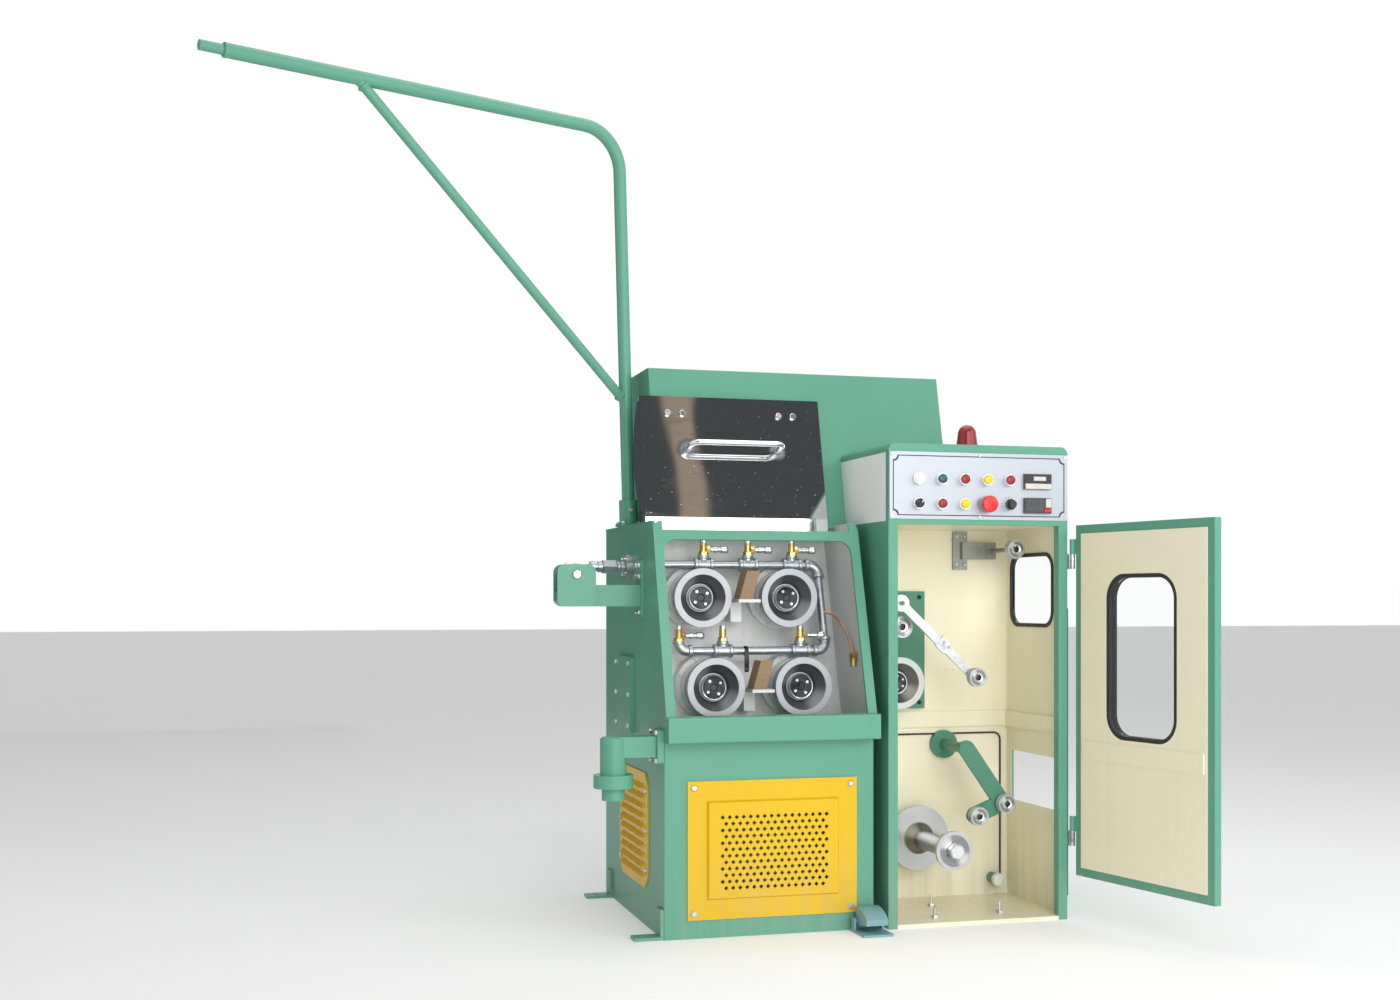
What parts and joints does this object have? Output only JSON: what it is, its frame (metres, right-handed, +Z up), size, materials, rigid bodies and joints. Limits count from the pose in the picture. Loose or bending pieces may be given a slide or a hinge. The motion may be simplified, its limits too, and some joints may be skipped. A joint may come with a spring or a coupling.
{
  "type": "wire drawing machine",
  "caption": "Multi-pass wet wire drawing machine with stepped cones behind a sloping window, a hinged splash cover, a spooler cabinet with door and console, and a payoff mast.",
  "frame": {"origin": "middle of the drawing cabinet's footprint, on the floor", "axes": "+Z up, -Y towards the operator in front, +X from the drawing cabinet to the spooler"},
  "size_m": [2.2687, 1.1823, 2.095],
  "materials": {
    "green_paint": "satin enamel, worn at edges",
    "white_paint": "satin, stained by coolant",
    "cream_paint": "satin",
    "yellow_paint": "gloss",
    "teal_paint": "satin",
    "steel": "turned and brushed",
    "polished_sheet": "polished sheet",
    "brass": "tarnished",
    "wood": "oiled",
    "black_rubber": "matte",
    "black_plastic": "matte",
    "red_plastic": "glossy, translucent",
    "clear_glass": "clear"
  },
  "bodies": {
    "machine": {"cabinet_body": "green_paint", "chamber_side_walls": "green_paint", "chamber_back_wall": "white_paint", "window_frame": "green_paint", "drip_apron": "green_paint", "rear_drive_housing": "green_paint", "upper_housing": "green_paint", "bearing_housings": "white_paint", "die_shelves": "white_paint", "die_blocks": "wood", "coolant_manifold": "steel", "coolant_valves": "brass", "front_vent_panel": "yellow_paint", "side_louvre_panel": "yellow_paint", "side_cover_plate": "green_paint", "drain_elbow": "green_paint", "floor_brackets": "green_paint", "inlet_guide_arm": "green_paint", "supply_union": "steel", "cover_hinge": "steel", "mast_socket": "green_paint", "payoff_mast": "green_paint", "spooler_left_wall": "green_paint", "spooler_right_wall": "green_paint", "spooler_back_wall": "cream_paint", "spooler_floor": "cream_paint", "top_decks": "green_paint", "wall_bands": "cream_paint", "side_window_gasket": "black_rubber", "side_window_glass": "clear_glass", "console": "green_paint", "control_panel": "steel", "panel_controls": "black_plastic", "warning_lamp": "red_plastic", "door_hinges": "steel", "capstan_plate": "green_paint", "guide_bracket": "steel", "shaft_bosses": "steel", "pedal_base": "teal_paint"},
    "drawing_cone_1": {"drawing_cone_1": "steel"},
    "drawing_cone_2": {"drawing_cone_2": "steel"},
    "drawing_cone_3": {"drawing_cone_3": "steel"},
    "drawing_cone_4": {"drawing_cone_4": "steel"},
    "inlet_pulley": {"inlet_pulley": "steel"},
    "splash_cover": {"splash_cover": "polished_sheet"},
    "door": {"door_panel": "green_paint", "door_liner": "cream_paint", "door_gasket": "black_rubber", "door_glass": "clear_glass"},
    "take_up_capstan": {"take_up_capstan": "steel"},
    "wire_pulley": {"wire_pulley": "steel"},
    "dancer": {"dancer_arm": "steel"},
    "dancer_pulley": {"dancer_pulley": "steel"},
    "guide_pulley": {"guide_pulley": "steel"},
    "traverse": {"traverse_arm": "green_paint"},
    "traverse_pulley_1": {"traverse_pulley_1": "steel"},
    "traverse_pulley_2": {"traverse_pulley_2": "steel"},
    "spool_spindle": {"spool_spindle": "steel"},
    "pedal": {"foot_pedal": "teal_paint"}
  },
  "joints": [
    {"name": "drawing_cone_1_spin", "type": "hinge", "parent": "machine", "child": "drawing_cone_1", "pos_m": [-0.123, -0.1596, 0.826], "axis": [0, 1, 0], "continuous": true},
    {"name": "drawing_cone_2_spin", "type": "hinge", "parent": "machine", "child": "drawing_cone_2", "pos_m": [0.108, -0.1596, 0.826], "axis": [0, 1, 0], "continuous": true},
    {"name": "drawing_cone_3_spin", "type": "hinge", "parent": "machine", "child": "drawing_cone_3", "pos_m": [-0.107, -0.2253, 0.6], "axis": [0, 1, 0], "continuous": true},
    {"name": "drawing_cone_4_spin", "type": "hinge", "parent": "machine", "child": "drawing_cone_4", "pos_m": [0.124, -0.2253, 0.6], "axis": [0, 1, 0], "continuous": true},
    {"name": "inlet_pulley_spin", "type": "hinge", "parent": "machine", "child": "inlet_pulley", "pos_m": [-0.443, -0.099, 0.884], "axis": [0, 1, 0], "continuous": true},
    {"name": "splash_cover_hinge", "type": "hinge", "parent": "machine", "child": "splash_cover", "pos_m": [0, 0.00793, 1.35], "axis": [-1, 0, 0], "range_deg": [0, 95]},
    {"name": "door_hinge", "type": "hinge", "parent": "machine", "child": "door", "pos_m": [0.802, -0.367, 0], "axis": [0, 0, 1], "range_deg": [-102, 18]},
    {"name": "take_up_capstan_spin", "type": "hinge", "parent": "machine", "child": "take_up_capstan", "pos_m": [0.42, -0.2, 0.601], "axis": [0, 1, 0], "continuous": true},
    {"name": "wire_pulley_spin", "type": "hinge", "parent": "machine", "child": "wire_pulley", "pos_m": [0.428, -0.2, 0.749], "axis": [0, 1, 0], "continuous": true},
    {"name": "dancer_pivot", "type": "hinge", "parent": "machine", "child": "dancer", "pos_m": [0.409, -0.2, 0.812], "axis": [0, -1, 0], "range_deg": [0, 45]},
    {"name": "dancer_pulley_spin", "type": "hinge", "parent": "dancer", "child": "dancer_pulley", "pos_m": [0.616, -0.2, 0.616], "axis": [0, 1, 0], "continuous": true},
    {"name": "guide_pulley_spin", "type": "hinge", "parent": "machine", "child": "guide_pulley", "pos_m": [0.73, -0.2, 0.955], "axis": [0, 1, 0], "continuous": true},
    {"name": "traverse_slide", "type": "slide", "parent": "machine", "child": "traverse", "axis": [0, 1, 0], "range_m": [-0.095, 0.07]},
    {"name": "traverse_pulley_1_spin", "type": "hinge", "parent": "traverse", "child": "traverse_pulley_1", "pos_m": [0.696, -0.2, 0.281], "axis": [0, 1, 0], "continuous": true},
    {"name": "traverse_pulley_2_spin", "type": "hinge", "parent": "traverse", "child": "traverse_pulley_2", "pos_m": [0.617, -0.2, 0.25], "axis": [0, 1, 0], "continuous": true},
    {"name": "spool_spindle_spin", "type": "hinge", "parent": "machine", "child": "spool_spindle", "pos_m": [0.498, -0.2, 0.181], "axis": [0, 1, 0], "continuous": true},
    {"name": "pedal_hinge", "type": "hinge", "parent": "machine", "child": "pedal", "pos_m": [0.243, -0.362, 0.026], "axis": [1, 0, 0], "range_deg": [0, 12], "stiffness_Nm_per_rad": 6, "springref_deg": -5.73}
  ]
}
